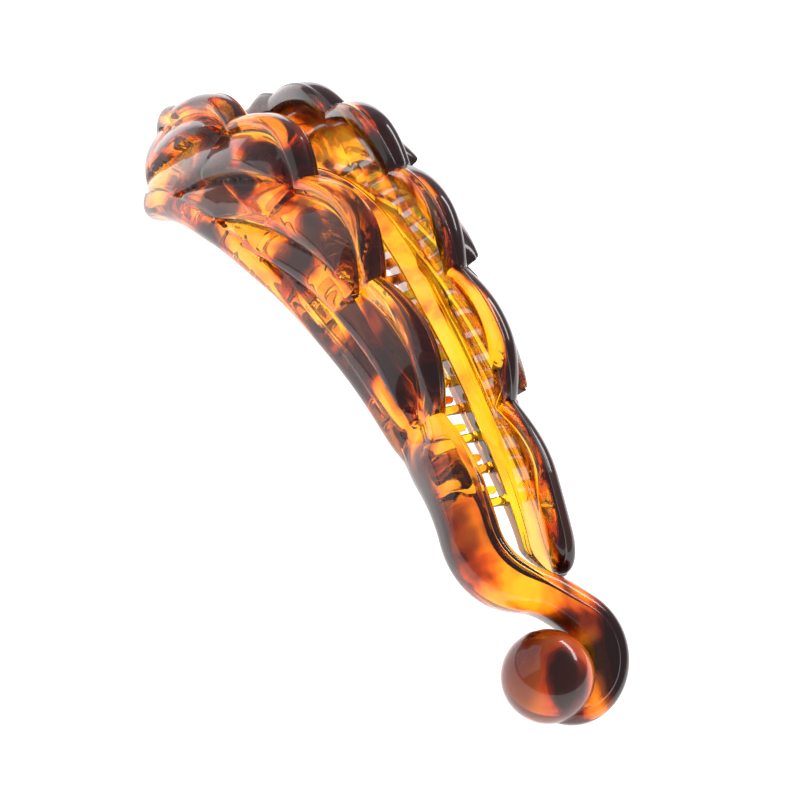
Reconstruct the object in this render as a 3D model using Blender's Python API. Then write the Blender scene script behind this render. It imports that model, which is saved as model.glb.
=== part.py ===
"""Banana hair clip in moulded plastic: two scalloped comb arms on a hinge pin, one ending in a curled hook.

Sizes are in millimetres. Along an arm, a place is given by s, its distance along the rim line from the
last notch (towards the hook is positive), by n, its height out from that line towards the convex side,
and by t, its reach outwards from the mould line on the rim.
"""
import math

import bmesh
import bpy
from mathutils import Vector

MM = 0.001

# Side view of the arch
ARCH_RADIUS = 74.0
TAIL_RADIUS = 120.0
HINGE_END_RADIUS = 66.0
HINGE_END_S = -58.0
LAST_NOTCH_ANGLE = math.radians(28.77)
ARCH_CENTRE = (-9.91, -39.56)

# Scallops along the rim
LOBE_PITCH = 21.0
LOBE_COUNT = 5
LOBE_HEIGHTS = (0.6, 1.8, 3.5, 4.2, 4.2)
LOBE_PEAK = 0.6
LOBE_END_POWER = 0.85
TAIL_HEIGHT = 4.4
TAIL_RISE_LENGTH = 11.5
HINGE_END_DROP = 3.5
HINGE_END_DROP_SHARE = 0.8
HINGE_S = -97.0
ARM_START_S = HINGE_S - 2.4
CATCH_TIP_S = 23.4
CATCH_TIP_ROUND = 4.5
CATCH_TIP_LEAST = 0.2

# Places of the cross-sections: after the arm's start, as shares of a lobe, after the last notch, in the tip
HINGE_END_STEPS = (0.0, 1.0, 2.5, 4.5, 7.0, 10.0, 13.0)
LOBE_SHARES = (0.0, 0.06, 0.2, 0.36, 0.5, 0.64, 0.77, 0.88, 0.95)
TAIL_STATIONS = (0.0, 1.2, 3.6, 6.4, 9.0, 11.2, 13.4, 15.0, 16.0, 18.0, 20.1)
CATCH_TIP_SHARES = (0.35, 0.65, 0.87, 0.98, 1.0)

# Plan view: half the distance between the two mould lines
HALF_GAP_AT_LAST_NOTCH = 5.3
HALF_GAP_PER_LOBE = 0.44
MIDDLE_CLEARANCE = 0.3

# Cross-section of an arm
ARM_TABLE = (
    {"s": -100.0, "depth": 14.4, "lean": 6.0, "rim_half": 2.2, "swell": 1.0, "comb": 6.0, "proud": 1.2},
    {"s": -92.0, "depth": 16.6, "lean": 12.0, "rim_half": 2.3, "swell": 1.0, "comb": 6.0, "proud": 1.2},
    {"s": -84.0, "depth": 17.5, "lean": 18.0, "rim_half": 2.4, "swell": 1.0, "comb": 6.0, "proud": 1.2},
    {"s": -60.0, "depth": 17.9, "lean": 21.0, "rim_half": 2.7, "swell": 1.0, "comb": 6.0, "proud": 1.2},
    {"s": -42.0, "depth": 16.9, "lean": 18.0, "rim_half": 2.3, "swell": 1.0, "comb": 6.0, "proud": 1.2},
    {"s": -21.0, "depth": 14.3, "lean": 10.0, "rim_half": 1.6, "swell": 1.0, "comb": 5.6, "proud": 1.2},
    {"s": 0.0, "depth": 10.1, "lean": 3.5, "rim_half": 1.3, "swell": 0.9, "comb": 4.6, "proud": 1.2},
    {"s": 13.0, "depth": 5.4, "lean": 0.5, "rim_half": 1.2, "swell": 0.8, "comb": 2.6, "proud": 1.0},
    {"s": 20.0, "depth": 4.8, "lean": 0.0, "rim_half": 1.4, "swell": 0.8, "comb": 2.0, "proud": 0.4},
)
RIM_INNER_HALF = 1.7
RIM_ROUND = 2.0
RIM_SPREAD = 0.2
RIM_ROLL = 3.4
RIM_OUTER_TURNS = (0, 35, 65, 90)
RIM_INNER_TURNS = (85, 55, 25)
FACE_STEPS = 12
GROOVE_REACH = 1.8
LEAN_REACH = 3.4
BAR_HEIGHT = 3.8
BAR_REACH = 4.6
BAR_NECK = 1.2
BAR_TURNS = (50, 100, 140)
FOOT_OUTER = 1.0
FOOT_INNER = -1.4
COMB_EDGE = 0.8

# Feather petals on the outer face
PETAL_TIP_DEPTH = -3.6
PETAL_SLOPE = 7.2
PETAL_RISE = 1.9
PETAL_FADE = 0.5
PETAL_FADE_FROM = 0.4
PETAL_FADE_TO = 1.5
PETAL_LEAST_HEIGHT = 0.2
PETAL_CREST = 0.72
PETAL_START = 0.2
PETAL_FALL = 0.85
TAIL_PETAL = 0.35
END_BELLY = 0.8
END_BELLY_HALF_LENGTH = 8.0

# Comb teeth
TOOTH_PITCH = 5.2
TOOTH_RADIUS = 0.7
TOOTH_TIP_RADIUS = 0.55
TOOTH_HEIGHT = 2.0
TOOTH_ROOT = 0.8
TOOTH_END_GAP = 0.7
TOOTH_SWING_SLACK = 0.2
LAST_TOOTH_S = 10.4
TOOTH_PAIR_SHIFT = 1.65
TOOTH_COUNT = 18
TOOTH_SIDES = 8

# Hook: a bend across the catch arm's tip, then a curl; reach is the way along it from the start of the bend
BEND_START_S = 15.9
BEND_RADIUS = 7.8
BEND_TURN = math.radians(50.8)
CROSSING_LENGTH = 10.8
CURL_RADIUS = 6.9
CURL_END_RADIUS = 4.4
CURL_TURN = math.radians(292.0)
HOOK_TABLE = (
    {"reach": 0.0, "inner": 2.3, "outer": 4.9, "tall": 8.0},
    {"reach": 3.0, "inner": 2.1, "outer": 5.3, "tall": 8.0},
    {"reach": 6.2, "inner": 1.9, "outer": 5.3, "tall": 8.0},
    {"reach": 9.2, "inner": 1.6, "outer": 4.7, "tall": 8.0},
    {"reach": 12.2, "inner": 2.5, "outer": 3.2, "tall": 7.8},
    {"reach": 15.2, "inner": 2.5, "outer": 2.9, "tall": 7.3},
    {"reach": 18.5, "inner": 2.35, "outer": 2.5, "tall": 6.6},
    {"reach": 26.0, "inner": 2.35, "outer": 2.35, "tall": 5.0},
)
BAR_FROM_S = 7.0
HOOK_TOP_RISE = 1.3
BEND_STEPS = 5
CROSSING_STEPS = 5
CURL_STEPS = 26
CURL_END_SCALES = (0.93, 0.75, 0.35)
BALL_RADIUS = 6.0
BALL_PLACE = (35.7, -0.85, 2.9)
BALL_SIDES = 18
BALL_RINGS = 12

# Small flats under the clip's three resting points
FLAT_TOOL = (160.0, 60.0, 10.0)

# Hinge
HINGE_ROUND_LENGTH = 14.0
HINGE_ROUND_SHARE = 0.85
HINGE_FILL = (1.0, 8.0)
HINGE_FILL_LEAST = 0.02
KNUCKLE_RADIUS = 2.7
KNUCKLE_SIDES = 20
PIN_SIDES = 16
PIN_RADIUS = 1.0
PIN_HOLE_RADIUS = 1.3
RUNNING_GAP = 0.35
ROOM_RADIUS = KNUCKLE_RADIUS + RUNNING_GAP
HOOK_KNUCKLE_LEVELS = (-13.2, -3.2)
HOOK_ROOM_LEVELS = (-10.2, -6.2)
CATCH_KNUCKLE_LEVELS = (-9.85, -6.55)
PIN_ENDS = (-13.1, -3.3)
CUT_LEVELS = (-30.0, 10.0)


def blend(start, end, x):
    """0 before start, 1 after end, smooth between."""
    u = min(max((x - start) / (end - start), 0.0), 1.0)
    return u * u * (3.0 - 2.0 * u)


def arch_frame(s):
    """Point on the rim line at s, with the direction along it and the direction out of the arch."""
    centre = Vector((ARCH_CENTRE[0], 0.0, ARCH_CENTRE[1]))
    radius = ARCH_RADIUS
    angle = LAST_NOTCH_ANGLE
    start = 0.0
    for limit, new_radius in ((0.0, TAIL_RADIUS), (HINGE_END_S, HINGE_END_RADIUS)):
        if (s > limit) == (new_radius > ARCH_RADIUS):
            angle += (limit - start) / radius
            centre += Vector((math.sin(angle), 0.0, math.cos(angle))) * (radius - new_radius)
            radius = new_radius
            start = limit
            break
    angle += (s - start) / radius
    out = Vector((math.sin(angle), 0.0, math.cos(angle)))
    along = Vector((math.cos(angle), 0.0, -math.sin(angle)))
    return centre + out * radius, along, out


def notch(number):
    """Place of a rim notch along the arm; number 1 is nearest the hinge."""
    return (number - LOBE_COUNT) * LOBE_PITCH


def rim_top(s):
    """Height of the scalloped rim over the line through the notches."""
    if s >= 0.0:
        return TAIL_HEIGHT * math.sin(math.pi / 2 * min(s / TAIL_RISE_LENGTH, 1.0))
    start = notch(1)
    if s < start:
        lobe = 0
        u = (s - ARM_START_S) / (start - ARM_START_S)
        level = -HINGE_END_DROP * (1.0 - blend(0.0, HINGE_END_DROP_SHARE, u))
    else:
        lobe = 1 + math.floor((s - start) / LOBE_PITCH + 1e-9)
        u = (s - notch(lobe)) / LOBE_PITCH
        level = 0.0
    if u < LOBE_PEAK:
        swell = math.sin(math.pi / 2 * u / LOBE_PEAK)
    else:
        swell = math.cos(math.pi / 2 * (u - LOBE_PEAK) / (1.0 - LOBE_PEAK)) ** LOBE_END_POWER
    return level + LOBE_HEIGHTS[lobe] * swell


def half_gap(s):
    """Distance of the mould line from the middle plane."""
    return HALF_GAP_AT_LAST_NOTCH - HALF_GAP_PER_LOBE * s / LOBE_PITCH


def read_table(table, key, at, column):
    """Value of a column between the rows of a table that are nearest on each side."""
    for first, second in zip(table, table[1:]):
        if at <= second[key] or second is table[-1]:
            share = min(max((at - first[key]) / (second[key] - first[key]), 0.0), 1.0)
            return first[column] + (second[column] - first[column]) * share


def arm_size(s, column):
    """Size of an arm's section at s."""
    return read_table(ARM_TABLE, "s", s, column)


def lean_out(s, ring):
    """Turn a section about the mould line, so that its foot stands away from the middle plane."""
    lean = math.radians(arm_size(s, "lean"))
    cosine, sine = math.cos(lean), math.sin(lean)
    return [(n * cosine + t * sine, t * cosine - n * sine) for n, t in ring]


def petal_lower_edge(s, number):
    """Crease under a petal: it runs from the petal's tip back and down towards the hinge."""
    return PETAL_TIP_DEPTH - PETAL_SLOPE * (notch(number) - s) / LOBE_PITCH


def petal_rise(s, n, top, bar_top):
    """Height of the feather petals over the outer face."""
    number = min(max(1, LOBE_COUNT + math.ceil(s / LOBE_PITCH - 1e-9)), LOBE_COUNT + 1)
    upper = top - RIM_ROLL
    lower = bar_top
    while number <= LOBE_COUNT:
        lower = max(petal_lower_edge(s, number), bar_top)
        if n >= lower:
            break
        upper = lower
        lower = bar_top
        number += 1
    strength = 1.0 if number <= LOBE_COUNT else TAIL_PETAL
    if number <= LOBE_COUNT:
        strength -= PETAL_FADE * blend(PETAL_FADE_FROM, PETAL_FADE_TO, (notch(number) - s) / LOBE_PITCH)
    v = min(max((upper - n) / max(upper - lower, PETAL_LEAST_HEIGHT), 0.0), 1.0)
    crown = PETAL_START + (1.0 - PETAL_START) * math.sin(math.pi / 2 * min(v / PETAL_CREST, 1.0))
    if v > PETAL_CREST:
        crown -= PETAL_FALL * (1.0 - math.sqrt(1.0 - ((v - PETAL_CREST) / (1.0 - PETAL_CREST)) ** 2))
    near = blend(notch(1) - END_BELLY_HALF_LENGTH, notch(1) + END_BELLY_HALF_LENGTH, s)
    belly = math.sin(math.pi * min((top - RIM_ROLL - n) / (top - RIM_ROLL - bar_top), 1.0))
    return PETAL_RISE * (near * strength * crown + (1.0 - near) * END_BELLY * belly)


def arm_section(s):
    """Ring of (n, t) round an arm, from the mould line down the outer face and up the inner one."""
    top = rim_top(s)
    depth = arm_size(s, "depth")
    outer_half = arm_size(s, "rim_half") + RIM_SPREAD * max(top, 0.0)
    swell = arm_size(s, "swell")
    bar_top = BAR_HEIGHT - depth
    comb_top = arm_size(s, "comb") - depth
    ring = []
    for turn in RIM_OUTER_TURNS:
        a = math.radians(turn)
        ring.append((top - RIM_ROUND * (1.0 - math.cos(a)), outer_half * math.sin(a)))
    ring.append((top - RIM_ROLL, GROOVE_REACH))
    face_top = top - RIM_ROLL
    for step in range(1, FACE_STEPS):
        share = step / FACE_STEPS
        n = face_top + (bar_top - face_top) * share
        reach = GROOVE_REACH + (LEAN_REACH - GROOVE_REACH) * share
        ring.append((n, swell * (reach + petal_rise(s, n, top, bar_top))))
    ring.append((bar_top, swell * LEAN_REACH))
    for turn in BAR_TURNS:
        a = math.radians(turn)
        n = bar_top - BAR_HEIGHT / 2 * (1.0 - math.cos(a))
        neck = LEAN_REACH - BAR_NECK
        ring.append((n, swell * (neck + (BAR_REACH - neck) * math.sin(a))))
    ring.append((-depth, FOOT_OUTER))
    ring.append((-depth, FOOT_INNER))
    comb = -RIM_INNER_HALF - arm_size(s, "proud")
    ring.append((COMB_EDGE - depth, comb))
    ring.append(((COMB_EDGE - depth + comb_top) / 2, comb))
    ring.append((comb_top, comb))
    ring.append((comb_top + COMB_EDGE, -RIM_INNER_HALF))
    ring.append(((top - RIM_ROLL + comb_top + COMB_EDGE) / 2, -RIM_INNER_HALF))
    for turn in RIM_INNER_TURNS:
        a = math.radians(turn)
        ring.append((top - RIM_ROUND * (1.0 - math.cos(a)), -RIM_INNER_HALF * math.sin(a)))
    return ring


def bar_section(top, tall, inner, outer):
    """Oval ring whose points lie at the same shares of the way round as those of an arm's."""
    pattern = arm_section(BEND_START_S)
    lengths = [0.0]
    for a, b in zip(pattern, pattern[1:] + pattern[:1]):
        lengths.append(lengths[-1] + math.hypot(b[0] - a[0], b[1] - a[1]))
    ring = []
    for length in lengths[:-1]:
        a = 2 * math.pi * length / lengths[-1]
        half = outer if a < math.pi else inner
        ring.append((top - tall / 2 * (1.0 - math.cos(a)), half * math.sin(a)))
    return ring


def mix_rings(first, second, m):
    return [(a[0] + (b[0] - a[0]) * m, a[1] + (b[1] - a[1]) * m) for a, b in zip(first, second)]


def place(s, y, n):
    """World position, in metres, of a point on the clip."""
    point, along, out = arch_frame(s)
    return (point + out * n + Vector((0.0, y, 0.0))) * MM


def close_in(s, reach):
    """Distance from the middle plane, drawn in where an arm rounds in to the hinge."""
    u = min((s - ARM_START_S) / HINGE_ROUND_LENGTH, 1.0)
    plan = math.sqrt(1.0 - (1.0 - u) ** 2 * HINGE_ROUND_SHARE)
    return MIDDLE_CLEARANCE + (reach - MIDDLE_CLEARANCE) * plan


def arm_ring(s, side, end_scale=1.0, slant=0.0):
    """World ring of an arm's cross-section at s; side is -1 for the hook arm and 1 for the other."""
    ring = []
    fill = blend(ARM_START_S + HINGE_FILL[0], ARM_START_S + HINGE_FILL[1], s)
    fill = max(fill, HINGE_FILL_LEAST)
    section = arm_section(s)
    middle = (section[0][0] - arm_size(s, "depth")) / 2
    section = [(middle + (n - middle) * end_scale, t * end_scale) for n, t in section]
    for (flat_n, flat_t), (n, t) in zip(section, lean_out(s, section)):
        y = close_in(s, half_gap(s) + t)
        if flat_t < 0:
            y = MIDDLE_CLEARANCE + (y - MIDDLE_CLEARANCE) * fill
        ring.append(place(s + slant * flat_t, side * y, n))
    return ring


def loft(name, rings):
    """Closed mesh through rings of equal length."""
    bm = bmesh.new()
    loops = [[bm.verts.new(point) for point in ring] for ring in rings]
    count = len(loops[0])
    for first, second in zip(loops, loops[1:]):
        for i in range(count):
            j = (i + 1) % count
            bm.faces.new((first[i], first[j], second[j], second[i]))
    bm.faces.new(loops[0])
    bm.faces.new(loops[-1])
    bmesh.ops.recalc_face_normals(bm, faces=bm.faces)
    bmesh.ops.triangulate(bm, faces=bm.faces)
    mesh = bpy.data.meshes.new(name)
    bm.to_mesh(mesh)
    bm.free()
    return bpy.data.objects.new(name, mesh)


def arm_stations(end_s):
    """Places of the rings along an arm, closer together at the notches."""
    stations = [ARM_START_S + step for step in HINGE_END_STEPS]
    for number in range(1, LOBE_COUNT):
        for share in LOBE_SHARES:
            stations.append(notch(number) + share * LOBE_PITCH)
    stations += [s for s in TAIL_STATIONS if s <= end_s]
    return stations


def catch_arm_rings():
    start = CATCH_TIP_S - CATCH_TIP_ROUND
    rings = [arm_ring(s, 1) for s in arm_stations(start)]
    for share in CATCH_TIP_SHARES:
        scale = max(math.sqrt(1.0 - share ** 2), CATCH_TIP_LEAST)
        rings.append(arm_ring(start + CATCH_TIP_ROUND * share, 1, scale, share / math.tan(BEND_TURN)))
    return rings


def hook_route():
    """Stations (s, y, heading, reach) of the mould line from the bend to the end of the curl."""
    s = BEND_START_S
    y = -half_gap(s)
    route = []
    for step in range(1, BEND_STEPS + 1):
        turn = BEND_TURN * step / BEND_STEPS
        route.append((s + BEND_RADIUS * math.sin(turn), y + BEND_RADIUS * (1 - math.cos(turn)), turn,
                      BEND_RADIUS * turn))
    length = CROSSING_LENGTH / CROSSING_STEPS
    for step in range(CROSSING_STEPS):
        s, y, heading, reach = route[-1]
        route.append((s + length * math.cos(heading), y + length * math.sin(heading), heading,
                      reach + length))
    turn = CURL_TURN / CURL_STEPS
    for step in range(1, CURL_STEPS + 1):
        s, y, heading, reach = route[-1]
        length = turn * (CURL_RADIUS + (CURL_END_RADIUS - CURL_RADIUS) * step / CURL_STEPS)
        middle = heading - turn / 2
        route.append((s + length * math.cos(middle), y + length * math.sin(middle), heading - turn,
                      reach + length))
    return route


def hook_section(reach, rise, end):
    """Oval section of the hook; end shrinks it at the tip of the curl."""
    inner = read_table(HOOK_TABLE, "reach", reach, "inner")
    outer = read_table(HOOK_TABLE, "reach", reach, "outer")
    tall = read_table(HOOK_TABLE, "reach", reach, "tall")
    top = TAIL_HEIGHT + rise - tall / 2 * (1 - end)
    return bar_section(top, tall * end, inner * end, outer * end)


def hook_arm_rings():
    rings = []
    for s in arm_stations(BEND_START_S):
        m = blend(BAR_FROM_S, BEND_START_S, s)
        if m == 0.0:
            rings.append(arm_ring(s, -1))
            continue
        section = mix_rings(lean_out(s, arm_section(s)), hook_section(0.0, 0.0, 1.0), m)
        rings.append([place(s, -half_gap(s) - t, n) for n, t in section])
    route = hook_route()
    for index, (s, y, heading, reach) in enumerate(route):
        end = 1.0
        if index >= len(route) - len(CURL_END_SCALES):
            end = CURL_END_SCALES[index - len(route)]
        section = hook_section(reach, HOOK_TOP_RISE * (index + 1) / len(route), end)
        rings.append([place(s + t * math.sin(heading), y - t * math.cos(heading), n) for n, t in section])
    return rings


def cylinder(name, base, axis, radius, end_radius, length, sides):
    """Capped round solid from base along axis; base and sizes in millimetres."""
    bm = bmesh.new()
    bmesh.ops.create_cone(bm, cap_ends=True, segments=sides, radius1=radius * MM, radius2=end_radius * MM,
                          depth=length * MM)
    bmesh.ops.translate(bm, verts=bm.verts, vec=(0.0, 0.0, length * MM / 2))
    turn = Vector((0.0, 0.0, 1.0)).rotation_difference(axis)
    bmesh.ops.rotate(bm, verts=bm.verts, matrix=turn.to_matrix())
    bmesh.ops.translate(bm, verts=bm.verts, vec=base)
    mesh = bpy.data.meshes.new(name)
    bm.to_mesh(mesh)
    bm.free()
    return bpy.data.objects.new(name, mesh)


def knuckle(name, low, high, radius, sides=KNUCKLE_SIDES):
    """Round solid on the hinge's axis between two heights."""
    out = arch_frame(HINGE_S)[2]
    return cylinder(name, place(HINGE_S, 0.0, low), out, radius, radius, high - low, sides)


def tooth_reach(s, n, strip):
    """How far a tooth passes the middle plane: nearly to the other strip, but less near the hinge,
    where its tip swings along the arch as the clip opens."""
    arm = (place(s, 0.0, n) - place(HINGE_S, 0.0, 0.0)).dot(arch_frame(HINGE_S)[1]) / MM
    return min(strip - TOOTH_END_GAP, math.sqrt(2 * arm * TOOTH_SWING_SLACK))


def tooth_place(index, side):
    """Place of a tooth along an arm; a catch arm's tooth stands just past each tooth of the hook arm."""
    s = LAST_TOOTH_S - index * TOOTH_PITCH
    if side > 0:
        s += TOOTH_PAIR_SHIFT * ARCH_RADIUS / (ARCH_RADIUS - arm_size(s, "depth"))
    return s


def teeth(name, side):
    """All the comb teeth of one arm as loose solids in one mesh."""
    bm = bmesh.new()
    turn = Vector((0.0, 0.0, 1.0)).rotation_difference(Vector((0.0, -side, 0.0)))
    for index in range(TOOTH_COUNT):
        s = tooth_place(index, side)
        face = -RIM_INNER_HALF - arm_size(s, "proud")
        n, t = lean_out(s, [(TOOTH_HEIGHT - arm_size(s, "depth"), face)])[0]
        strip = half_gap(s) + t
        length = strip + TOOTH_ROOT + tooth_reach(s, n, strip)
        made = bmesh.ops.create_cone(bm, cap_ends=True, segments=TOOTH_SIDES, radius1=TOOTH_RADIUS * MM,
                                     radius2=TOOTH_TIP_RADIUS * MM, depth=length * MM)
        verts = made["verts"]
        bmesh.ops.translate(bm, verts=verts, vec=(0.0, 0.0, length * MM / 2))
        bmesh.ops.rotate(bm, verts=verts, matrix=turn.to_matrix())
        bmesh.ops.translate(bm, verts=verts, vec=place(s, side * (strip + TOOTH_ROOT), n))
    mesh = bpy.data.meshes.new(name)
    bm.to_mesh(mesh)
    bm.free()
    return bpy.data.objects.new(name, mesh)


def ball(name, centre, radius):
    bm = bmesh.new()
    bmesh.ops.create_uvsphere(bm, u_segments=BALL_SIDES, v_segments=BALL_RINGS, radius=radius * MM)
    bmesh.ops.translate(bm, verts=bm.verts, vec=centre)
    mesh = bpy.data.meshes.new(name)
    bm.to_mesh(mesh)
    bm.free()
    return bpy.data.objects.new(name, mesh)


def resting_plane(name):
    """Block whose top is the plane the clip rests on."""
    bm = bmesh.new()
    bmesh.ops.create_cube(bm, size=MM)
    bmesh.ops.scale(bm, verts=bm.verts, vec=FLAT_TOOL)
    bmesh.ops.translate(bm, verts=bm.verts, vec=(0.0, 0.0, -FLAT_TOOL[2] / 2 * MM))
    mesh = bpy.data.meshes.new(name)
    bm.to_mesh(mesh)
    bm.free()
    return bpy.data.objects.new(name, mesh)


def tortoiseshell(name, colour):
    """Glossy amber plastic."""
    material = bpy.data.materials.new(name)
    material.use_nodes = True
    shader = material.node_tree.nodes["Principled BSDF"]
    shader.inputs["Base Color"].default_value = colour
    shader.inputs["Roughness"].default_value = 0.08
    shader.inputs["Metallic"].default_value = 0.0
    return material


def make_collection(name):
    collection = bpy.data.collections.new(name)
    bpy.context.scene.collection.children.link(collection)
    return collection


def use_tool(target, tool, operation, cutters):
    """Fuse a tool solid to a piece, or cut it out."""
    cutters.objects.link(tool)
    tool.hide_render = True
    tool.display_type = "WIRE"
    modifier = target.modifiers.new(tool.name, "BOOLEAN")
    modifier.operation = operation
    modifier.solver = "EXACT"
    modifier.object = tool


def make_hook_arm(parts, cutters):
    arm = loft("hook_arm", hook_arm_rings())
    parts.objects.link(arm)
    arm.data.materials.append(tortoiseshell("hook_arm_amber", (0.55, 0.20, 0.02, 1.0)))
    use_tool(arm, knuckle("hook_knuckles", *HOOK_KNUCKLE_LEVELS, KNUCKLE_RADIUS), "UNION", cutters)
    use_tool(arm, knuckle("hook_hinge_room", *HOOK_ROOM_LEVELS, ROOM_RADIUS), "DIFFERENCE", cutters)
    use_tool(arm, teeth("hook_teeth", -1), "UNION", cutters)
    use_tool(arm, ball("hook_ball", place(*BALL_PLACE), BALL_RADIUS), "UNION", cutters)
    use_tool(arm, knuckle("hook_pin_hole", *CUT_LEVELS, PIN_HOLE_RADIUS, PIN_SIDES), "DIFFERENCE", cutters)
    use_tool(arm, resting_plane("hook_resting_plane"), "DIFFERENCE", cutters)


def make_catch_arm(parts, cutters):
    arm = loft("catch_arm", catch_arm_rings())
    parts.objects.link(arm)
    arm.data.materials.append(tortoiseshell("catch_arm_amber", (0.50, 0.15, 0.02, 1.0)))
    below = (CUT_LEVELS[0], CATCH_KNUCKLE_LEVELS[0])
    above = (CATCH_KNUCKLE_LEVELS[1], CUT_LEVELS[1])
    use_tool(arm, knuckle("catch_knuckle", *HOOK_ROOM_LEVELS, KNUCKLE_RADIUS), "UNION", cutters)
    use_tool(arm, knuckle("catch_room_below", *below, ROOM_RADIUS), "DIFFERENCE", cutters)
    use_tool(arm, knuckle("catch_room_above", *above, ROOM_RADIUS), "DIFFERENCE", cutters)
    use_tool(arm, teeth("catch_teeth", 1), "UNION", cutters)
    use_tool(arm, knuckle("catch_pin_hole", *CUT_LEVELS, PIN_HOLE_RADIUS, PIN_SIDES), "DIFFERENCE", cutters)
    use_tool(arm, resting_plane("catch_resting_plane"), "DIFFERENCE", cutters)


def make_hinge_pin(parts):
    pin = knuckle("hinge_pin", *PIN_ENDS, PIN_RADIUS, PIN_SIDES)
    parts.objects.link(pin)
    pin.data.materials.append(tortoiseshell("pin_amber", (0.25, 0.07, 0.02, 1.0)))


for old in list(bpy.data.objects):
    bpy.data.objects.remove(old)
part_collection = make_collection("banana_clip")
cutter_collection = make_collection("cutters")
make_hook_arm(part_collection, cutter_collection)
make_catch_arm(part_collection, cutter_collection)
make_hinge_pin(part_collection)
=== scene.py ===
"""Dresses the banana hair clip: two tortoiseshell comb arms, a hinge pin, and a plain studio."""
import math

import bmesh
import bpy
import numpy as np
from mathutils import Matrix, Vector


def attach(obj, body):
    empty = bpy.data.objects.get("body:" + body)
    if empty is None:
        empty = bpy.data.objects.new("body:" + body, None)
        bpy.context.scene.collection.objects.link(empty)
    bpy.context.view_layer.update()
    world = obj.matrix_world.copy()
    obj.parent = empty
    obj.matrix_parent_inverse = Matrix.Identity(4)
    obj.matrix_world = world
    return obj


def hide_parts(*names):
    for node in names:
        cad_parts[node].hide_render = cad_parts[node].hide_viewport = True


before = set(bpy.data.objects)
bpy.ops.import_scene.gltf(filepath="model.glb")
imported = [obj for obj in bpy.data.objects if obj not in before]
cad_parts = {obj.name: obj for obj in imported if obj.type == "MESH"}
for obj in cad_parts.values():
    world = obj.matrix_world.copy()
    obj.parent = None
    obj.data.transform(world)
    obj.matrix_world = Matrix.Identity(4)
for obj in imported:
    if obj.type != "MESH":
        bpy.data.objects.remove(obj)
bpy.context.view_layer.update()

# Hook arm. One injection moulding in clear amber plastic with brown swirls: scalloped rim, petals, comb
# strip and teeth, and a hook with a ball. In its sizes (mm) s runs along the rim line from the last notch
# towards the hook, n out of the arch, and t outwards from the mould line.

# The arch: three arcs that meet smoothly, with the flattest one in the tail.
MM = 0.001
ARCH_RADIUS = 74.0
ARCH_CENTRE = (-9.91, -39.56)
LAST_NOTCH_ANGLE = math.radians(28.77)
TAIL_RADIUS = 120.0
HINGE_END_RADIUS = 66.0
HINGE_END_S = -58.0


def arch_frame(s):
    """Point on the rim line at s, with the direction along it and the direction out of the arch."""
    centre = Vector((ARCH_CENTRE[0], 0.0, ARCH_CENTRE[1]))
    radius = ARCH_RADIUS
    angle = LAST_NOTCH_ANGLE
    start = 0.0
    for limit, new_radius in ((0.0, TAIL_RADIUS), (HINGE_END_S, HINGE_END_RADIUS)):
        if (s > limit) == (new_radius > ARCH_RADIUS):
            angle += (limit - start) / radius
            centre += Vector((math.sin(angle), 0.0, math.cos(angle))) * (radius - new_radius)
            radius = new_radius
            start = limit
            break
    angle += (s - start) / radius
    out = Vector((math.sin(angle), 0.0, math.cos(angle)))
    along = Vector((math.cos(angle), 0.0, -math.sin(angle)))
    return centre + out * radius, along, out


def place(s, y, n):
    """World position, in metres, of a point on the clip."""
    point, _, out = arch_frame(s)
    return (point + out * n + Vector((0.0, y, 0.0))) * MM


# The scalloped rim: five lobes that grow towards the hook, then the higher back of the tail.
LOBE_PITCH = 21.0
LOBE_COUNT = 5
LOBE_HEIGHTS = (0.6, 1.8, 3.5, 4.2, 4.2)
LOBE_PEAK = 0.6
LOBE_END_POWER = 0.85
TAIL_HEIGHT = 4.4
TAIL_RISE_LENGTH = 11.5
HINGE_END_DROP = 3.5
HINGE_END_DROP_SHARE = 0.8
HINGE_S = -97.0
ARM_START_S = HINGE_S - 2.4
ROUNDING_SLACK = 1e-9


def blend(start, end, x):
    """0 before start, 1 after end, smooth between."""
    u = min(max((x - start) / (end - start), 0.0), 1.0)
    return u * u * (3.0 - 2.0 * u)


def notch(number):
    """Place of the notch at the hook end of a lobe, with the lobes counted from 1 at the hinge."""
    return (number - LOBE_COUNT) * LOBE_PITCH


def rim_top(s):
    """Height of the scalloped rim over the line through the notches."""
    if s >= 0.0:
        return TAIL_HEIGHT * math.sin(math.pi / 2 * min(s / TAIL_RISE_LENGTH, 1.0))
    start = notch(1)
    if s < start:
        lobe = 0
        u = (s - ARM_START_S) / (start - ARM_START_S)
        level = -HINGE_END_DROP * (1.0 - blend(0.0, HINGE_END_DROP_SHARE, u))
    else:
        lobe = 1 + math.floor((s - start) / LOBE_PITCH + ROUNDING_SLACK)
        u = (s - notch(lobe)) / LOBE_PITCH
        level = 0.0
    if u < LOBE_PEAK:
        swell = math.sin(math.pi / 2 * u / LOBE_PEAK)
    else:
        swell = math.cos(math.pi / 2 * (u - LOBE_PEAK) / (1.0 - LOBE_PEAK)) ** LOBE_END_POWER
    return level + LOBE_HEIGHTS[lobe] * swell


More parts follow.
